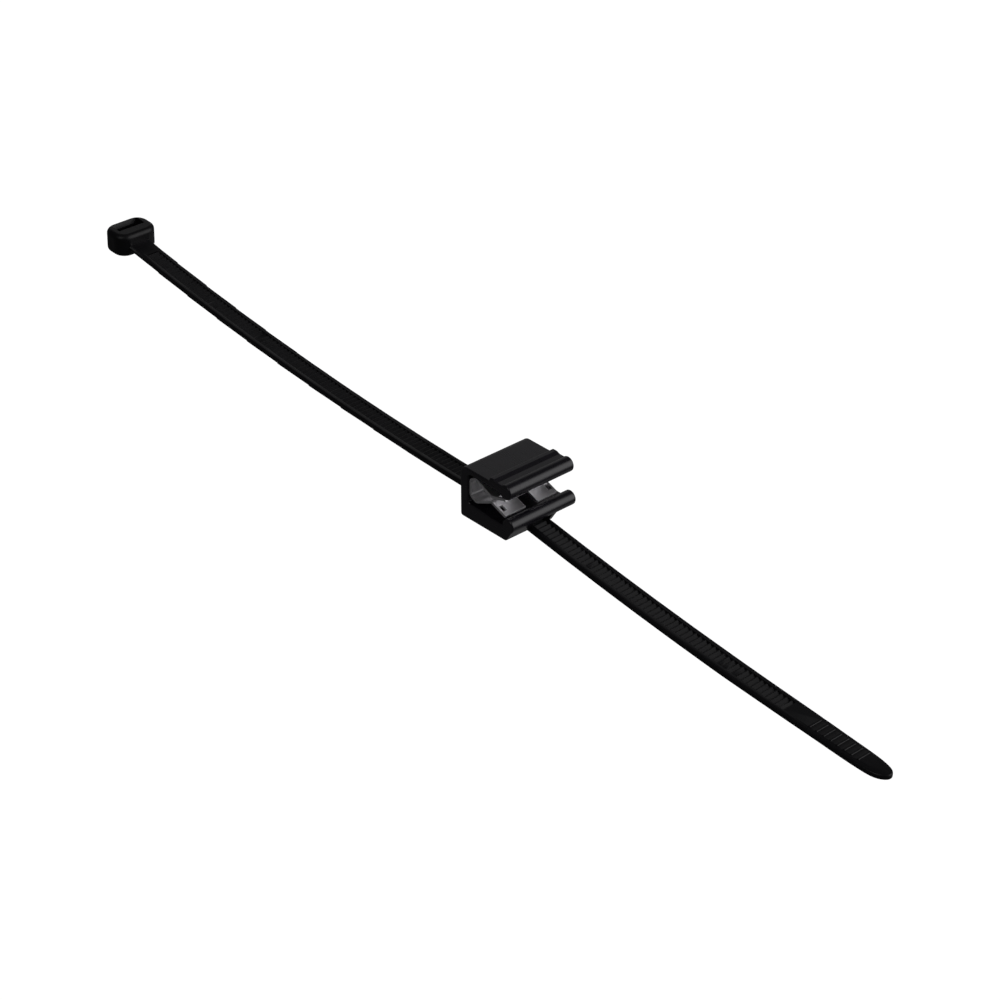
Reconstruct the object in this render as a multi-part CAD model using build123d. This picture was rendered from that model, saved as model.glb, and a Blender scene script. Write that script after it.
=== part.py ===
from build123d import *
import math
import os

# Panel-edge cable clip with a captive cable tie.  Millimetres.
# Frame: the origin is the centre of the panel slot in the clip body.
#   +X runs out of the slot's mouth, +Y along the clip (and along the panel edge), +Z up from the tie to the press face.
# Pieces: clip_body (nylon moulding), steel_insert (folded spring sheet), cable_tie (nylon moulding: head, pawl, strap, tail).

os.makedirs("parts", exist_ok=True)

# ----------------------------------------------------------------------------- clip body
CLIP_LEN = 15.0          # along Y
CLIP_Y0 = 0.0            # middle of the clip along Y
BACK_X = -6.9            # outside of the back wall
BACK_WALL = 2.0
TOP_Z = 3.74             # press face
UPPER_ARM_IN = 2.65      # underside of the upper arm
LOWER_ARM_IN = -3.2      # inner face of the lower arm at the back
LOWER_ARM_FRONT = -3.62  # the same just behind the lower lip
RIB_Z = 4.48             # crest of the rib that runs along the top
VALLEY_Z = 4.18         # shelf between the rib and the upper lip
UP_LIP = (4.7, 3.17)     # centre of the upper lip's bead
UP_LIP_R = 1.42
LO_LIP = (5.37, -3.33)   # centre of the lower lip's bead
LO_LIP_R = 1.38
ARM_UNDER = -4.6         # underside of the lower arm outside the saddle
BLOCK_Z = -6.5           # underside of the saddle
BLOCK_FRONT = [(6.25, -4.35), (4.85, -6.5)]   # the saddle's front slopes back from the lower lip to its underside
BLOCK_Y0 = -7.5          # the saddle reaches one end of the clip
BLOCK_Y1 = 3.3
CHAN_W = 5.0             # strap channel, across
CHAN_X1 = 8.3            # the channel is cut clear of the lower lip
CHAN_ROOF = -4.24
CHAN_GAP = 0.14          # running gap under the strap
BRIDGE_X1 = -2.0         # the channel's floor ends here, and the channel is open below in front of it
STOP_Y = 5.2            # the insert's end stop starts here

# ----------------------------------------------------------------------------- steel insert
SHEET = 0.5
INS_Y0 = -7.2
INS_Y1 = 5.05
LEAF_UP = [(4.5, 1.46), (0.85, 0.56), (-3.1, 2.25)]      # mouth end, neck, belly: the sheet's middle
LEAF_LO = [(4.5, -1.9), (0.85, -0.56), (-3.1, -2.35)]
INS_BACK = -4.58         # sheet's middle at the back bend
NOTCH_HALF = 1.35       # middle notch in each ramp
WINDOW = (4.9, 5.7)      # small windows, measured from the insert's middle
WINDOW_X = (2.3, 3.6)

# ----------------------------------------------------------------------------- cable tie
STRAP_W = 4.8
STRAP_T = 1.1
EDGE_R = 0.36            # rounding of the strap's long edges
BAND_HALF = 1.45         # half width of the toothed band
BAND_FLOOR = 0.12        # band floor above the strap's middle
TOOTH_TIP = 0.50         # tooth tips above the strap's middle
TOOTH_PITCH = 1.1
# the strap's middle line lies on three tangent arcs: two that curl up, joined by a short one that curls down at the saddle
ARC_L = (-0.41, 641.48, 646.46)     # centre x, centre z, radius
ARC_R = (124.11, 742.45, 757.94)
X_JOIN = -8.6                       # where the left arc ends
X_HEAD = -115.0                     # middle of the head
X_TIP = 87.2                        # end of the tail
NECK_X = -107.6                     # the toothed band starts here
BAND_X1 = 66.0                      # and ends here
TAIL_P = [(50.0, 2.40), (60.0, 2.38), (68.0, 2.34), (74.0, 2.23), (79.0, 2.08), (83.2, 1.87), (85.4, 1.53), (86.7, 0.94)]   # the tail's +Y edge
TAIL_M = [(50.0, 2.40), (58.0, 2.31), (66.0, 2.24), (75.0, 2.23), (83.0, 2.20), (85.0, 1.95), (86.4, 1.27)]                  # and its -Y edge
HEAD_L = 6.55             # along the strap
HEAD_W = 9.3             # across the strap
HEAD_H = 4.7
HEAD_Y = 0.2             # the strap is bent a little sideways at the head
HEAD_OFF = 0.05          # head's middle above the strap's middle
HEAD_TILT = -2.5         # the head's own tilt; the strap leaves it about 8 degrees steeper
HEAD_CORNER = 2.6        # rounding of the head's upright edges
WIN_HALF = 2.5           # half the strap window, across
WIN_X = (-2.05, -0.25)   # strap window along the head
POCKET_X1 = 1.45         # flex pocket behind the pawl


# ----------------------------------------------------------------------------- the strap's middle line
def on_left(th, h):
    return (ARC_L[0] + (ARC_L[2] - h) * math.sin(th), ARC_L[1] - (ARC_L[2] - h) * math.cos(th))


def on_right(th, h):
    return (ARC_R[0] + (ARC_R[2] - h) * math.sin(th), ARC_R[1] - (ARC_R[2] - h) * math.cos(th))


TH_HEAD = math.asin((X_HEAD - ARC_L[0]) / ARC_L[2])
TH_JOIN = math.asin((X_JOIN - ARC_L[0]) / ARC_L[2])
TH_TIP = math.asin((X_TIP - ARC_R[0]) / ARC_R[2])

# radius of the middle arc, which has its centre below: it must touch both long arcs
_ux, _uz = math.sin(TH_JOIN), -math.cos(TH_JOIN)
_dx, _dz = ARC_L[0] - ARC_R[0], ARC_L[1] - ARC_R[1]


def _miss(r):
    cx = _dx + _ux * (ARC_L[2] + r)
    cz = _dz + _uz * (ARC_L[2] + r)
    return math.hypot(cx, cz) - (ARC_R[2] + r)


_lo, _hi = 5.0, 2000.0
for _ in range(200):
    _mid = 0.5 * (_lo + _hi)
    if (_miss(_lo) > 0) == (_miss(_mid) > 0):
        _lo = _mid
    else:
        _hi = _mid
R_MID = 0.5 * (_lo + _hi)
MID_C = (ARC_L[0] + _ux * (ARC_L[2] + R_MID), ARC_L[1] + _uz * (ARC_L[2] + R_MID))
TH_EXIT = math.atan2(MID_C[0] - ARC_R[0], -(MID_C[1] - ARC_R[1]))


def on_mid(th, h):
    return (MID_C[0] - (R_MID + h) * math.sin(th), MID_C[1] + (R_MID + h) * math.cos(th))


LEN_L = ARC_L[2] * (TH_JOIN - TH_HEAD)
LEN_M = R_MID * (TH_JOIN - TH_EXIT)
LEN_R = ARC_R[2] * (TH_TIP - TH_EXIT)


def at(s, h):
    """Point at arc length s from the middle of the head and height h above the strap's middle."""
    if s <= LEN_L:
        return on_left(TH_HEAD + s / ARC_L[2], h)
    if s <= LEN_L + LEN_M:
        return on_mid(TH_JOIN - (s - LEN_L) / R_MID, h)
    return on_right(TH_EXIT + (s - LEN_L - LEN_M) / ARC_R[2], h)


def s_of(x):
    lo, hi = -10.0, LEN_L + LEN_M + LEN_R + 10.0
    for _ in range(80):
        m = 0.5 * (lo + hi)
        if at(m, 0)[0] < x:
            lo = m
        else:
            hi = m
    return 0.5 * (lo + hi)


def line_edges(s0, s1, h):
    """Arc edges of the line at height h from s0 to s1."""
    cuts = [s0] + [c for c in (LEN_L, LEN_L + LEN_M) if s0 < c < s1] + [s1]
    out = []
    for a, b in zip(cuts, cuts[1:]):
        e = 1e-9
        out.append(ThreePointArc(at(a + e, h), at(0.5 * (a + b), h), at(b - e, h)))
    return out


def ribbon(s0, s1, h0, h1):
    """Side face of a ribbon between two heights."""
    top = line_edges(s0, s1, h1)
    bottom = line_edges(s0, s1, h0)
    ends = [Line(at(s0 + 1e-9, h0), at(s0 + 1e-9, h1)), Line(at(s1 - 1e-9, h1), at(s1 - 1e-9, h0))]
    return make_face(Wire.combine([e for w in top + bottom + ends for e in w.edges()], tol=1e-4)[0])


def slab(face, y0, y1):
    """Extrude a face drawn in X, Z over y0..y1."""
    return Pos(0, 0.5 * (y0 + y1), 0) * extrude(Plane.XZ * face, amount=0.5 * (y1 - y0), both=True)


def round_corner(face, x, z, r):
    v = sorted(face.vertices(), key=lambda q: math.hypot(q.X - x, q.Y - z))[0]
    return fillet(v, r)


def box(x0, x1, y0, y1, z0, z1):
    return Pos(0.5 * (x0 + x1), 0.5 * (y0 + y1), 0.5 * (z0 + z1)) * Box(x1 - x0, y1 - y0, z1 - z0)


print("strap: mid arc R %.2f, lengths %.2f %.2f %.2f, exit slope %.2f deg" % (R_MID, LEN_L, LEN_M, LEN_R, math.degrees(TH_EXIT)))


# ============================================================================= clip body
Y0 = CLIP_Y0 - CLIP_LEN / 2
Y1 = CLIP_Y0 + CLIP_LEN / 2
INNER_X = BACK_X + BACK_WALL
upper = Polygon(
    (BACK_X, 0.0), (BACK_X, TOP_Z), (0.35, TOP_Z), (0.8, RIB_Z), (1.75, RIB_Z), (2.5, VALLEY_Z), (4.1, VALLEY_Z),
    (UP_LIP[0], UP_LIP[1] + UP_LIP_R - 0.02), (UP_LIP[0], UP_LIP[1] - UP_LIP_R + 0.02), (3.5, UPPER_ARM_IN - 0.2), (INNER_X, UPPER_ARM_IN), (INNER_X, 0.0),
    align=None)
upper = round_corner(upper, BACK_X, TOP_Z, 1.5)
upper = round_corner(upper, INNER_X, UPPER_ARM_IN, 0.7)
upper = round_corner(upper, 0.35, TOP_Z, 0.25)
upper = round_corner(upper, 0.8, RIB_Z, 0.3)
upper = round_corner(upper, 1.75, RIB_Z, 0.45)
upper = round_corner(upper, 2.5, VALLEY_Z, 0.6)
upper = upper + Pos(*UP_LIP) * Circle(UP_LIP_R)
lower = Polygon(
    (BACK_X, 0.0), (INNER_X, 0.0), (INNER_X, LOWER_ARM_IN), (1.4, LOWER_ARM_FRONT), (4.0, LOWER_ARM_FRONT),
    (LO_LIP[0] - 0.6, LO_LIP[1]), (LO_LIP[0], LO_LIP[1] - LO_LIP_R + 0.02), (LO_LIP[0] - 1.0, ARM_UNDER), (BACK_X, ARM_UNDER),
    align=None)
lower = round_corner(lower, INNER_X, LOWER_ARM_IN, 0.7)
lower = round_corner(lower, 1.4, LOWER_ARM_FRONT, 1.5)
lower = lower + Pos(*LO_LIP) * Circle(LO_LIP_R)
shell = slab(upper + lower, Y0, Y1)

saddle = Polygon((BACK_X, BLOCK_Z), (BACK_X, ARM_UNDER + 0.4), (LO_LIP[0], ARM_UNDER + 0.4), BLOCK_FRONT[0], BLOCK_FRONT[1], align=None)
saddle = round_corner(saddle, BLOCK_FRONT[1][0], BLOCK_Z, 0.5)
saddle = round_corner(saddle, BACK_X, BLOCK_Z, 0.6)
body = shell + slab(saddle, BLOCK_Y0, BLOCK_Y1)

# strap channel: flat roof, floor that follows the strap, flared open in front of the bridge
s_a, s_b = s_of(BACK_X - 1.0), s_of(BRIDGE_X1)
pa = at(s_a, -(STRAP_T / 2 + CHAN_GAP))
pb = at(s_b, -(STRAP_T / 2 + CHAN_GAP))
pm = at(0.5 * (s_a + s_b), -(STRAP_T / 2 + CHAN_GAP))
# the left arc turns into the middle arc inside the channel, so the floor is drawn through short arcs
floor_pts = [at(s_a + (s_b - s_a) * k / 6, -(STRAP_T / 2 + CHAN_GAP)) for k in range(7)]
floor = [ThreePointArc(floor_pts[2 * k], floor_pts[2 * k + 1], floor_pts[2 * k + 2]) for k in range(3)]
walls = [Line(pa, (pa[0], CHAN_ROOF)), Line((pa[0], CHAN_ROOF), (CHAN_X1, CHAN_ROOF)),
         Line((CHAN_X1, CHAN_ROOF), (CHAN_X1, BLOCK_Z - 1.0)),
         Line((CHAN_X1, BLOCK_Z - 1.0), (BRIDGE_X1 + 0.4, BLOCK_Z - 1.0)),
         Line((BRIDGE_X1 + 0.4, BLOCK_Z - 1.0), pb)]
channel = make_face(Wire.combine([e for w in floor + walls for e in w.edges()], tol=1e-3)[0])
body = body - slab(channel, -CHAN_W / 2, CHAN_W / 2)

# end stop for the insert, on the back wall
# soft edges round the two ends
for y_end in (Y0, Y1):
    ends = [e for e in body.edges() if abs(e.center().Y - y_end) < 1e-4 and abs(e.bounding_box().max.Y - e.bounding_box().min.Y) < 1e-4]
    for rad in (0.3, 0.2, 0.12):
        try:
            trial = fillet(ends, rad)
            if trial.is_valid and len(trial.solids()) == 1:
                body = trial
                print("end edges", y_end, "radius", rad)
                break
        except Exception as err:
            print("end edges", y_end, "radius", rad, "refused")
stop = Polygon((INNER_X - 0.1, -1.6), (INNER_X - 0.1, 1.3), (INNER_X + 0.75, 1.0), (INNER_X + 0.75, -1.3), align=None)
body = body + slab(stop, STOP_Y, Y1)


# ============================================================================= steel insert
def sheet_face(points, radii, t):
    """Face of a bent sheet, from the middle line of its section."""
    n = len(points)

    def shifted(sign):
        out = []
        for i, (x, z) in enumerate(points):
            d = []
            if i > 0:
                a = (x - points[i - 1][0], z - points[i - 1][1])
                m = math.hypot(*a)
                d.append((-a[1] / m, a[0] / m))
            if i < n - 1:
                a = (points[i + 1][0] - x, points[i + 1][1] - z)
                m = math.hypot(*a)
                d.append((-a[1] / m, a[0] / m))
            if len(d) == 1:
                nx, nz = d[0]
                k = 1.0
            else:
                nx, nz = d[0][0] + d[1][0], d[0][1] + d[1][1]
                m = math.hypot(nx, nz)
                nx, nz = nx / m, nz / m
                k = 1.0 / (nx * d[0][0] + nz * d[0][1])
            out.append((x + sign * t / 2 * nx * k, z + sign * t / 2 * nz * k))
        return out

    turn = []
    for i in range(1, n - 1):
        ax, az = points[i][0] - points[i - 1][0], points[i][1] - points[i - 1][1]
        bx, bz = points[i + 1][0] - points[i][0], points[i + 1][1] - points[i][1]
        turn.append(1 if ax * bz - az * bx > 0 else -1)      # +1 turns to the left, where the left side is inside
    left = FilletPolyline(*shifted(1), radius=[r - c * t / 2 for r, c in zip(radii, turn)])
    right = FilletPolyline(*shifted(-1), radius=[r + c * t / 2 for r, c in zip(radii, turn)])
    caps = [Line(left @ 0, right @ 0), Line(left @ 1, right @ 1)]
    return make_face(Wire.combine([e for w in [left, right] + caps for e in w.edges()], tol=1e-3)[0])


mid_line = LEAF_UP + [(INS_BACK, 1.55), (INS_BACK, -1.55)] + LEAF_LO[::-1]
insert = slab(sheet_face(mid_line, [0.9, 0.9, 0.75, 0.75, 0.9, 0.9], SHEET), INS_Y0, INS_Y1)
yc = 0.5 * (INS_Y0 + INS_Y1)
insert = insert - box(1.9, 6.0, yc - NOTCH_HALF, yc + NOTCH_HALF, -4, 4)
for side in (-1, 1):
    w0, w1 = sorted((side * WINDOW[0], side * WINDOW[1]))
    insert = insert - box(WINDOW_X[0], WINDOW_X[1], yc + w0, yc + w1, -4, 4)


# ============================================================================= cable tie
S_END = LEN_L + LEN_M + LEN_R
S_ROOT = 2.2                                       # the strap starts inside the head's front wall
X_TAPER = TAIL_P[0][0]
s_taper = s_of(X_TAPER)


def soften(shape, edges, name):
    for r in (EDGE_R, 0.4, 0.35, 0.3, 0.2, 0.1):
        try:
            out = fillet(edges, r)
            print(name, "edge radius", r)
            return out
        except Exception as err:
            print(name, "radius", r, "refused")
    return shape


run = slab(ribbon(S_ROOT, s_taper, -STRAP_T / 2, STRAP_T / 2), -STRAP_W / 2, STRAP_W / 2)
run = soften(run, [e for e in run.edges() if e.length > 5.0 and abs(abs(e.center().Y) - STRAP_W / 2) < 1e-3], "strap")
# plan outline of the tail: a slight taper, then a rounded tip
side = Spline(*TAIL_P, (X_TIP, 0.0), tangents=[(1, 0), (0, -1)])
other = Spline(*[(x, -y) for x, y in TAIL_M], (X_TIP, 0.0), tangents=[(1, 0), (0, 1)])
back = Line(TAIL_P[0], (TAIL_M[0][0], -TAIL_M[0][1]))
plan = make_face(Wire.combine([e for w in (side, other, back) for e in w.edges()], tol=1e-3)[0])
tail = slab(ribbon(s_taper, S_END + 1.0, -STRAP_T / 2, STRAP_T / 2), -3, 3)
tail = tail & (Pos(0, 0, -30) * extrude(plan, amount=60))
tail = soften(tail, [e for e in tail.edges() if e.length > 5.0 and e.center().X > X_TAPER + 1.0], "tail")
strap = run + tail

# toothed band, sunk between two smooth rails
s1, s2 = s_of(NECK_X), s_of(BAND_X1)
count = int((s2 - s1) / TOOTH_PITCH)
s2 = s1 + count * TOOTH_PITCH
strap = strap - slab(ribbon(s1, s2, BAND_FLOOR, STRAP_T), -BAND_HALF, BAND_HALF)
pts = [at(s1 + 0.02, BAND_FLOOR - 0.1)]
for k in range(count):
    a = s1 + k * TOOTH_PITCH + 0.02
    pts.append(at(a + 0.02, BAND_FLOOR - (0.1 if k == 0 else 0.0)))
    pts.append(at(a + 0.16, TOOTH_TIP))
    pts.append(at(a + 0.34, TOOTH_TIP))
    if k < count - 1:
        pts.append(at(a + TOOTH_PITCH - 0.08, BAND_FLOOR + 0.01))
pts.append(at(s2 - 0.10, BAND_FLOOR + 0.01))
pts.append(at(s2 - 0.10, BAND_FLOOR - 0.1))
under = [at(s2 - 0.10 - (s2 - s1 - 0.12) * k / 60, BAND_FLOOR - 0.1) for k in range(1, 60)]
teeth = slab(make_face(Polyline(*(pts[1:] + under), close=True)), -BAND_HALF, BAND_HALF)
strap = strap + teeth

# grip ribs on the tail, top and bottom
rib_s = [s_of(70.5) + 1.5 * k for k in range(8)]
for s in rib_s:
    for hs in (1, -1):
        strap = strap + slab(make_face(Polyline(at(s, hs * 0.45), at(s + 0.15, hs * 0.66), at(s + 0.45, hs * 0.66), at(s + 0.6, hs * 0.45), close=True)), -1.35, 1.35)

# head: a rounded block tilted with the strap, with the strap window and the pawl inside
hx, hz = at(0, HEAD_OFF)
hb = Box(HEAD_L, HEAD_W, HEAD_H)
hb = fillet(hb.edges().filter_by(Axis.Z), HEAD_CORNER)
hb = fillet(hb.edges().group_by(Axis.Z)[-1], 1.0)
hb = fillet(hb.edges().group_by(Axis.Z)[0], 0.8)
top = HEAD_H / 2
window = box(WIN_X[0], WIN_X[1], -WIN_HALF, WIN_HALF, -top - 1, top + 1)
pocket = box(WIN_X[1] - 0.1, POCKET_X1, -WIN_HALF, WIN_HALF, -top - 1, top - 1.1)
lead = Polygon((WIN_X[0] - 0.45, top + 0.01), (WIN_X[1] + 0.75, top + 0.01), (WIN_X[1], top - 1.0), (WIN_X[0], top - 1.0), align=None)
lead_in = slab(lead, -WIN_HALF - 0.5, WIN_HALF + 0.6)
hb = hb - window - pocket - lead_in
pawl_pts = [(WIN_X[1] + 0.02, top - 0.95), (POCKET_X1 - 0.55, top - 1.0), (POCKET_X1 - 0.6, top - 1.6), (0.35, -1.35), (-0.2, -1.75),
            (-0.62, -1.60), (-0.40, -1.20), (-0.58, -0.95), (-0.36, -0.55), (-0.52, -0.32), (-0.28, 0.1)]
pawl = slab(Polygon(*pawl_pts, align=None), -WIN_HALF + 0.35, WIN_HALF - 0.35)
bridge = box(WIN_X[1] + 0.02, POCKET_X1 + 0.2, -WIN_HALF - 0.2, WIN_HALF + 0.2, top - 1.2, top - 0.95)
hb = hb + bridge + pawl
head = Pos(hx, HEAD_Y, hz) * Rot(0, -HEAD_TILT, 0) * hb
# the strap's root thickens into the head
root = Polygon(at(2.4, -0.75), at(2.4, 1.15), at(3.3, 1.1), at(5.4, 0.62), at(5.9, 0.3), at(5.9, -0.4), at(3.6, -0.72), align=None)
root = slab(root, -2.6, 2.6)
root_plan = Polygon((-114.0, 2.6), (-111.4, 2.6), (-109.0, 2.35), (-109.0, -2.35), (-111.4, -2.6), (-114.0, -2.6), align=None)
root = root & (Pos(0, 0, -30) * extrude(root_plan, amount=60))
tie = strap + root + head

parts = {"clip_body": body, "steel_insert": insert, "cable_tie": tie}
for name, shape in parts.items():
    solids = shape.solids()
    print(name, "solids", len(solids), "volume", round(sum(q.volume for q in solids), 2), "valid", all(q.is_valid for q in solids))
    keep = solids[0] if len(solids) == 1 else Compound(children=solids)
    keep.label = name
    export_step(keep, os.path.join("parts", name + ".step"))
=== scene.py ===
import bpy
import math
from mathutils import Vector, Matrix


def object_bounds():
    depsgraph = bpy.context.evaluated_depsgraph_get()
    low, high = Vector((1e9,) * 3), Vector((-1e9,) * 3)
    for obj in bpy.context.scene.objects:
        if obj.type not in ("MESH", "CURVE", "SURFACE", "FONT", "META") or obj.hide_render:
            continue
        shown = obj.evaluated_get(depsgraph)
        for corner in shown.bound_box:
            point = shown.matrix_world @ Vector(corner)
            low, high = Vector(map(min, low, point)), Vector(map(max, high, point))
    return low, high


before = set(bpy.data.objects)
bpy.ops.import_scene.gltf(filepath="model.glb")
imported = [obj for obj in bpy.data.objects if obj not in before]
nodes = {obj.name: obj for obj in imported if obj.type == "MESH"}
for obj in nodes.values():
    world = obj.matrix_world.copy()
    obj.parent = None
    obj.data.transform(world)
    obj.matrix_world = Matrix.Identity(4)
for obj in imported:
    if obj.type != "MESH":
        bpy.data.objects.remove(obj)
scene = bpy.context.scene


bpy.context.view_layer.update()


# ------------------------------------------------------------------ camera
MM = 0.001
cam_data = bpy.data.cameras.new("camera")
cam_data.sensor_width = 36.0
cam_data.lens = 101.58
cam_data.clip_start = 0.01
cam_data.clip_end = 20.0
cam = bpy.data.objects.new("camera", cam_data)
scene.collection.objects.link(cam)
right = Vector((0.66807, 0.74410, 0.0))
back = Vector((0.6333, -0.5686, 0.5249)).normalized()
up = back.cross(right).normalized()
right = up.cross(back).normalized()
rot = Matrix((right, up, back)).transposed().to_4x4()
cam.matrix_world = Matrix.Translation(Vector((310.0, -282.7, 255.3)) * MM) @ rot
scene.camera = cam


# ------------------------------------------------------------------ node helpers
def new_material(name):
    m = bpy.data.materials.new(name)
    m.use_nodes = True
    nt = m.node_tree
    nt.nodes.clear()
    out = nt.nodes.new("ShaderNodeOutputMaterial")
    bsdf = nt.nodes.new("ShaderNodeBsdfPrincipled")
    nt.links.new(bsdf.outputs["BSDF"], out.inputs["Surface"])
    return m, nt, bsdf


def noise(nt, coord, scale, detail=3.0, rough=0.5, distortion=0.0, stretch=None):
    n = nt.nodes.new("ShaderNodeTexNoise")
    n.inputs["Scale"].default_value = scale
    n.inputs["Detail"].default_value = detail
    n.inputs["Roughness"].default_value = rough
    n.inputs["Distortion"].default_value = distortion
    if stretch:
        mp = nt.nodes.new("ShaderNodeMapping")
        mp.inputs["Scale"].default_value = stretch
        nt.links.new(coord, mp.inputs["Vector"])
        nt.links.new(mp.outputs["Vector"], n.inputs["Vector"])
    else:
        nt.links.new(coord, n.inputs["Vector"])
    return n.outputs["Fac"]


def ramp(nt, fac, lo, hi, out_lo, out_hi):
    mr = nt.nodes.new("ShaderNodeMapRange")
    mr.inputs["From Min"].default_value = lo
    mr.inputs["From Max"].default_value = hi
    mr.inputs["To Min"].default_value = out_lo
    mr.inputs["To Max"].default_value = out_hi
    nt.links.new(fac, mr.inputs["Value"])
    return mr.outputs["Result"]


def mix_color(nt, fac, a, b):
    mx = nt.nodes.new("ShaderNodeMix")
    mx.data_type = "RGBA"
    mx.inputs["A"].default_value = (*a, 1.0)
    mx.inputs["B"].default_value = (*b, 1.0)
    nt.links.new(fac, mx.inputs["Factor"])
    return mx.outputs["Result"]


def bump(nt, height, strength, distance, normal=None):
    b = nt.nodes.new("ShaderNodeBump")
    b.inputs["Strength"].default_value = strength
    b.inputs["Distance"].default_value = distance
    nt.links.new(height, b.inputs["Height"])
    if normal is not None:
        nt.links.new(normal, b.inputs["Normal"])
    return b.outputs["Normal"]


def coords(nt):
    return nt.nodes.new("ShaderNodeTexCoord").outputs["Object"]


# ------------------------------------------------------------------ materials
def nylon(name, dark, light, rough_lo, rough_hi, grain, sheen):
    """Moulded black nylon: a fine matte grain, faint flow marks and slightly uneven gloss."""
    m, nt, p = new_material(name)
    c = coords(nt)
    cloud = noise(nt, c, 260.0, 4.0, 0.6)
    fine = noise(nt, c, 5200.0, 2.0, 0.5)
    flow = noise(nt, c, 900.0, 3.0, 0.55, 0.3, stretch=(0.25, 1.0, 1.0))
    nt.links.new(mix_color(nt, ramp(nt, cloud, 0.35, 0.7, 0.0, 1.0), dark, light), p.inputs["Base Color"])
    nt.links.new(ramp(nt, flow, 0.3, 0.7, rough_lo, rough_hi), p.inputs["Roughness"])
    n1 = bump(nt, fine, grain, 0.00002)
    n2 = bump(nt, flow, 0.25, 0.00004, n1)
    nt.links.new(n2, p.inputs["Normal"])
    p.inputs["Specular IOR Level"].default_value = sheen
    p.inputs["IOR"].default_value = 1.53
    return m


def spring_steel(name):
    """Cold-rolled spring strip, bright: fine rolling lines along the clip and a slightly clouded sheen."""
    m, nt, p = new_material(name)
    c = coords(nt)
    lines = noise(nt, c, 1500.0, 3.0, 0.5, 0.0, stretch=(1.0, 0.06, 1.0))
    cloud = noise(nt, c, 420.0, 4.0, 0.6)
    nt.links.new(mix_color(nt, ramp(nt, cloud, 0.3, 0.7, 0.0, 1.0), (0.80, 0.795, 0.81), (0.89, 0.885, 0.895)), p.inputs["Base Color"])
    nt.links.new(ramp(nt, lines, 0.3, 0.7, 0.36, 0.44), p.inputs["Roughness"])
    nt.links.new(bump(nt, lines, 0.10, 0.00001), p.inputs["Normal"])
    p.inputs["Metallic"].default_value = 1.0
    return m


clip_mat = nylon("clip_nylon", (0.0080, 0.0070, 0.0104), (0.0125, 0.0110, 0.0160), 0.22, 0.29, 0.2, 0.5)
tie_mat = nylon("tie_nylon", (0.0042, 0.0040, 0.0052), (0.0072, 0.0068, 0.0088), 0.30, 0.42, 0.35, 0.26)
steel_mat = spring_steel("spring_steel")


def dress(name, material, bevel=None, segments=3):
    o = nodes[name]
    o.data.materials.clear()
    o.data.materials.append(material)
    for poly in o.data.polygons:
        poly.material_index = 0
    w = o.modifiers.new("weld", "WELD")
    w.merge_threshold = 0.000002
    if bevel:
        b = o.modifiers.new("soft_edges", "BEVEL")
        b.limit_method = "ANGLE"
        b.angle_limit = math.radians(38)
        b.width = bevel
        b.segments = segments
        b.use_clamp_overlap = True
        b.miter_outer = "MITER_ARC"
        b.harden_normals = False


dress("clip_body", clip_mat, 0.00022)
dress("steel_insert", steel_mat, 0.00006, 2)
dress("cable_tie", tie_mat, 0.00004, 1)


# ------------------------------------------------------------------ stage and light
lo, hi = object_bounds()
bm_floor = bpy.data.meshes.new("floor")
half = 1.6
z = lo[2] - 0.0002
bm_floor.from_pydata([(-half, -half, z), (half, -half, z), (half, half, z), (-half, half, z)], [], [(0, 1, 2, 3)])
floor = bpy.data.objects.new("floor", bm_floor)
scene.collection.objects.link(floor)
fm = bpy.data.materials.new("floor_white")
fm.use_nodes = True
ft = fm.node_tree
ft.nodes.clear()
fo = ft.nodes.new("ShaderNodeOutputMaterial")
fe = ft.nodes.new("ShaderNodeEmission")
fe.inputs["Color"].default_value = (1.0, 1.0, 1.0, 1.0)
fe.inputs["Strength"].default_value = 1.05
ft.links.new(fe.outputs["Emission"], fo.inputs["Surface"])
floor.data.materials.append(fm)
floor.visible_diffuse = False
floor.visible_glossy = False
floor.visible_shadow = False

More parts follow.
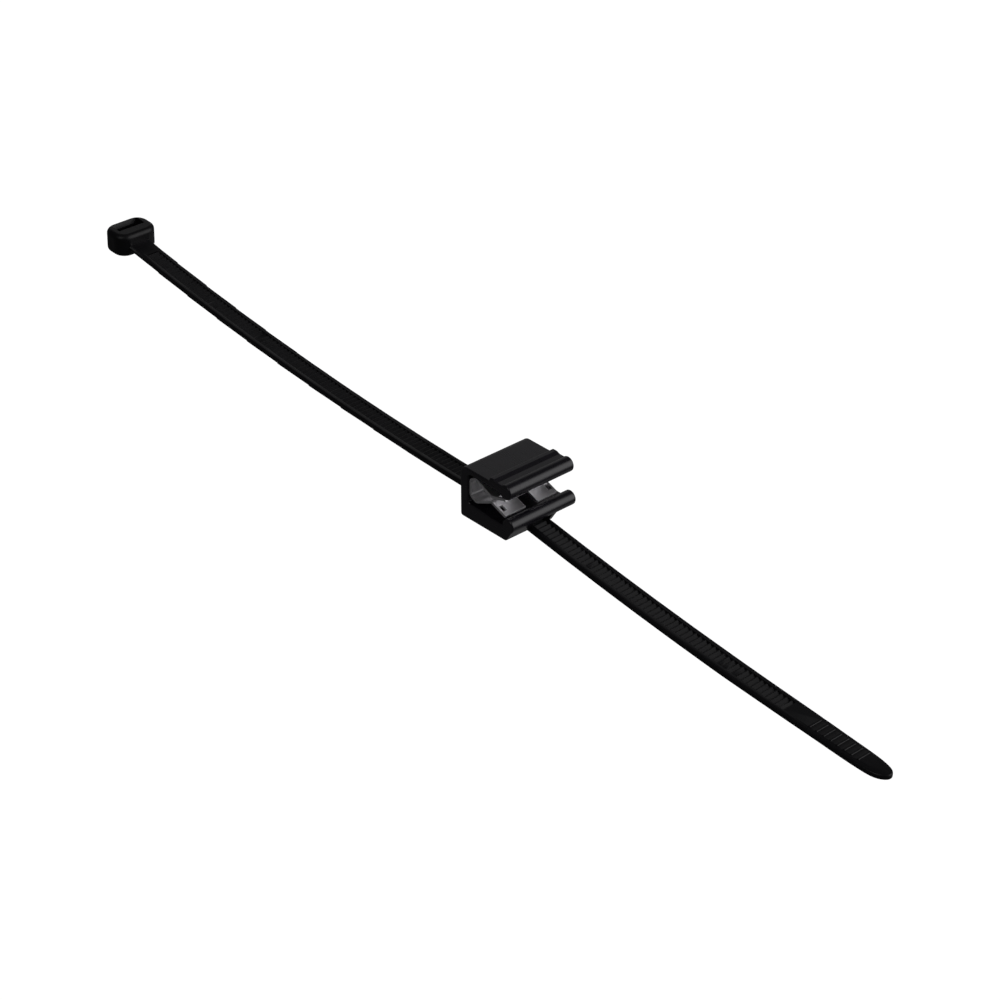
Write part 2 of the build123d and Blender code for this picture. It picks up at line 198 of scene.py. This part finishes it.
world = bpy.data.worlds.new("studio")
scene.world = world
world.use_nodes = True
wt = world.node_tree
wt.nodes.clear()
wo = wt.nodes.new("ShaderNodeOutputWorld")
bg = wt.nodes.new("ShaderNodeBackground")
tc = wt.nodes.new("ShaderNodeTexCoord")


def lobe(direction, lo_d, hi_d, value):
    """A soft round patch of light in one direction."""
    v = Vector(direction).normalized()
    dot = wt.nodes.new("ShaderNodeVectorMath")
    dot.operation = "DOT_PRODUCT"
    dot.inputs[1].default_value = v
    wt.links.new(tc.outputs["Generated"], dot.inputs[0])
    mr = wt.nodes.new("ShaderNodeMapRange")
    mr.interpolation_type = "SMOOTHSTEP"
    mr.inputs["From Min"].default_value = lo_d
    mr.inputs["From Max"].default_value = hi_d
    mr.inputs["To Min"].default_value = 0.0
    mr.inputs["To Max"].default_value = value
    wt.links.new(dot.outputs["Value"], mr.inputs["Value"])
    return mr.outputs["Result"]


def add(a, b):
    m = wt.nodes.new("ShaderNodeMath")
    m.operation = "ADD"
    wt.links.new(a, m.inputs[0])
    if isinstance(b, float):
        m.inputs[1].default_value = b
    else:
        wt.links.new(b, m.inputs[1])
    return m.outputs["Value"]


total = add(lobe((0.739, 0.569, 0.36), 0.75, 0.99, 1.5), 0.05)
total = add(total, lobe((-0.772, 0.569, 0.281), 0.86, 0.96, 0.18))
total = add(total, lobe((0.10, 0.60, -0.80), 0.80, 0.97, 0.12))
wt.links.new(total, bg.inputs["Strength"])
bg.inputs["Color"].default_value = (1.0, 0.99, 1.0, 1.0)
wt.links.new(bg.outputs["Background"], wo.inputs["Surface"])


def area(name, loc, target, size, power, color=(1, 1, 1)):
    d = bpy.data.lights.new(name, "AREA")
    d.shape = "RECTANGLE"
    d.size, d.size_y = size
    d.energy = power
    d.color = color
    o = bpy.data.objects.new(name, d)
    scene.collection.objects.link(o)
    o.location = loc
    o.rotation_euler = (Vector(target) - Vector(loc)).to_track_quat("-Z", "Y").to_euler()
    return o


area("key", (0.15, -0.75, 0.65), (0, 0, 0), (0.5, 0.5), 1.0)
area("top", (-0.1, 0.1, 0.9), (0, 0, 0), (0.7, 0.7), 0.05)

scene.view_settings.view_transform = "Standard"
scene.view_settings.look = "None"
